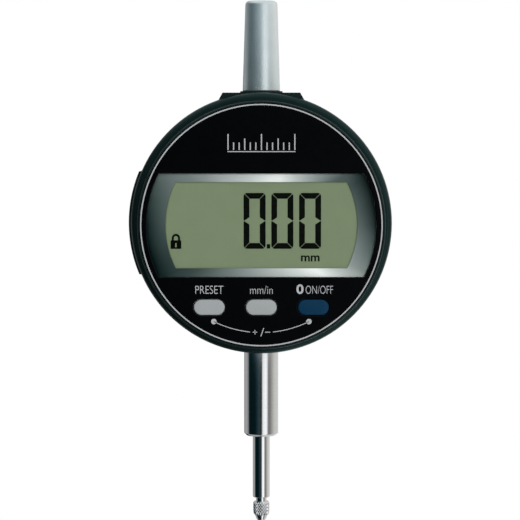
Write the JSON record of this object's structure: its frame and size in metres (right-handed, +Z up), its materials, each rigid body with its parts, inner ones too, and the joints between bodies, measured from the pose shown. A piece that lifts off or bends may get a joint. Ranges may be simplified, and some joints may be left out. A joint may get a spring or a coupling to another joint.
{
  "type": "digital dial indicator",
  "caption": "Round digital dial indicator: turning display head with keys, sprung sliding spindle under a tapered cap, plain clamping stem, ball contact point and a side drawer for a coin cell.",
  "frame": {"origin": "on the stem's axis, at the middle of its clamping length", "axes": "+Z up along the spindle, away from the contact point; the display faces -Y; +X is to the right seen from the front"},
  "size_m": [0.0606, 0.0273, 0.1222],
  "materials": {
    "black_case": "moulded, fine satin grain",
    "black_gloss": "smooth gloss",
    "clear_window": "polished",
    "silver_mask": "fine circular brushing",
    "lcd": "matt grey-green behind glass",
    "dark_plastic": "moulded",
    "white_plastic": "moulded",
    "ground_steel": "ground and polished",
    "cap_metal": "bead-blasted satin",
    "plain_steel": "bright, plated",
    "spring_steel": "drawn wire",
    "bronze": "turned",
    "contact_metal": "gold-plated spring strip",
    "black_rubber": "soft matt",
    "pink_rubber": "layered conductive rubber",
    "grey_key": "satin",
    "blue_key": "satin",
    "circuit_board": "solder mask",
    "chip": "moulded epoxy",
    "ribbon": "polyimide film",
    "scale_glass": "printed scale",
    "ball_steel": "polished",
    "cell_steel": "nickel-plated"
  },
  "bodies": {
    "housing": {"housing": "black_case", "back_cover": "black_case", "back_cover_screws": "plain_steel", "back_seal": "black_rubber", "stem": "ground_steel", "lower_bush": "bronze", "middle_bush": "bronze", "upper_bush": "bronze", "cap_seal": "black_rubber", "spindle_cap": "cap_metal", "frame": "plain_steel", "frame_screws": "plain_steel", "sensor_board": "circuit_board", "sensor_board_screws": "plain_steel", "sensor_chip": "chip", "stop_buffer": "black_rubber", "return_spring": "spring_steel", "flex_cable": "ribbon", "battery_guide": "dark_plastic", "battery_guide_screws": "plain_steel", "battery_contact_plus": "contact_metal", "battery_contact_minus": "contact_metal"},
    "spindle": {"spindle": "ground_steel", "contact_point": "ground_steel", "contact_ball": "ball_steel", "scale_carrier": "plain_steel", "scale_strip": "scale_glass", "guide_pin": "plain_steel", "carrier_screws": "plain_steel"},
    "display": {"head_shell": "black_case", "front_panel": "black_gloss", "window_lens": "clear_window", "window_frame": "silver_mask", "lcd_glass": "lcd", "lcd_holder": "dark_plastic", "zebra_strips": "pink_rubber", "main_board": "circuit_board", "processor_chip": "chip", "board_connector": "white_plastic", "key_switches": "dark_plastic", "head_back": "black_case", "head_screws": "plain_steel", "retaining_ring": "plain_steel", "retaining_ring_screws": "plain_steel", "head_seal": "black_rubber", "stop_pin": "plain_steel"},
    "preset_key": {"preset_key": "grey_key"},
    "unit_key": {"unit_key": "grey_key"},
    "zero_key": {"zero_key": "blue_key"},
    "battery_drawer": {"battery_drawer": "black_case", "coin_cell": "cell_steel", "cell_insulator": "dark_plastic"}
  },
  "joints": [
    {"name": "spindle_slide", "type": "slide", "parent": "housing", "child": "spindle", "axis": [0, 0, 1], "range_m": [0, 0.0125], "stiffness_N_per_m": 20, "springref_m": -0.0325, "deforming": ["return_spring"]},
    {"name": "display_turn", "type": "hinge", "parent": "housing", "child": "display", "pos_m": [0, 0, 0.04], "axis": [0, 1, 0], "range_deg": [-90, 180]},
    {"name": "preset_key_press", "type": "slide", "parent": "display", "child": "preset_key", "axis": [0, 1, 0], "range_m": [0, 0.0005], "stiffness_N_per_m": 1000, "springref_m": -0.001},
    {"name": "unit_key_press", "type": "slide", "parent": "display", "child": "unit_key", "axis": [0, 1, 0], "range_m": [0, 0.0005], "stiffness_N_per_m": 1000, "springref_m": -0.001},
    {"name": "zero_key_press", "type": "slide", "parent": "display", "child": "zero_key", "axis": [0, 1, 0], "range_m": [0, 0.0005], "stiffness_N_per_m": 1000, "springref_m": -0.001},
    {"name": "battery_drawer_slide", "type": "slide", "parent": "housing", "child": "battery_drawer", "axis": [-1, 0, 0], "range_m": [0, 0.02]}
  ]
}
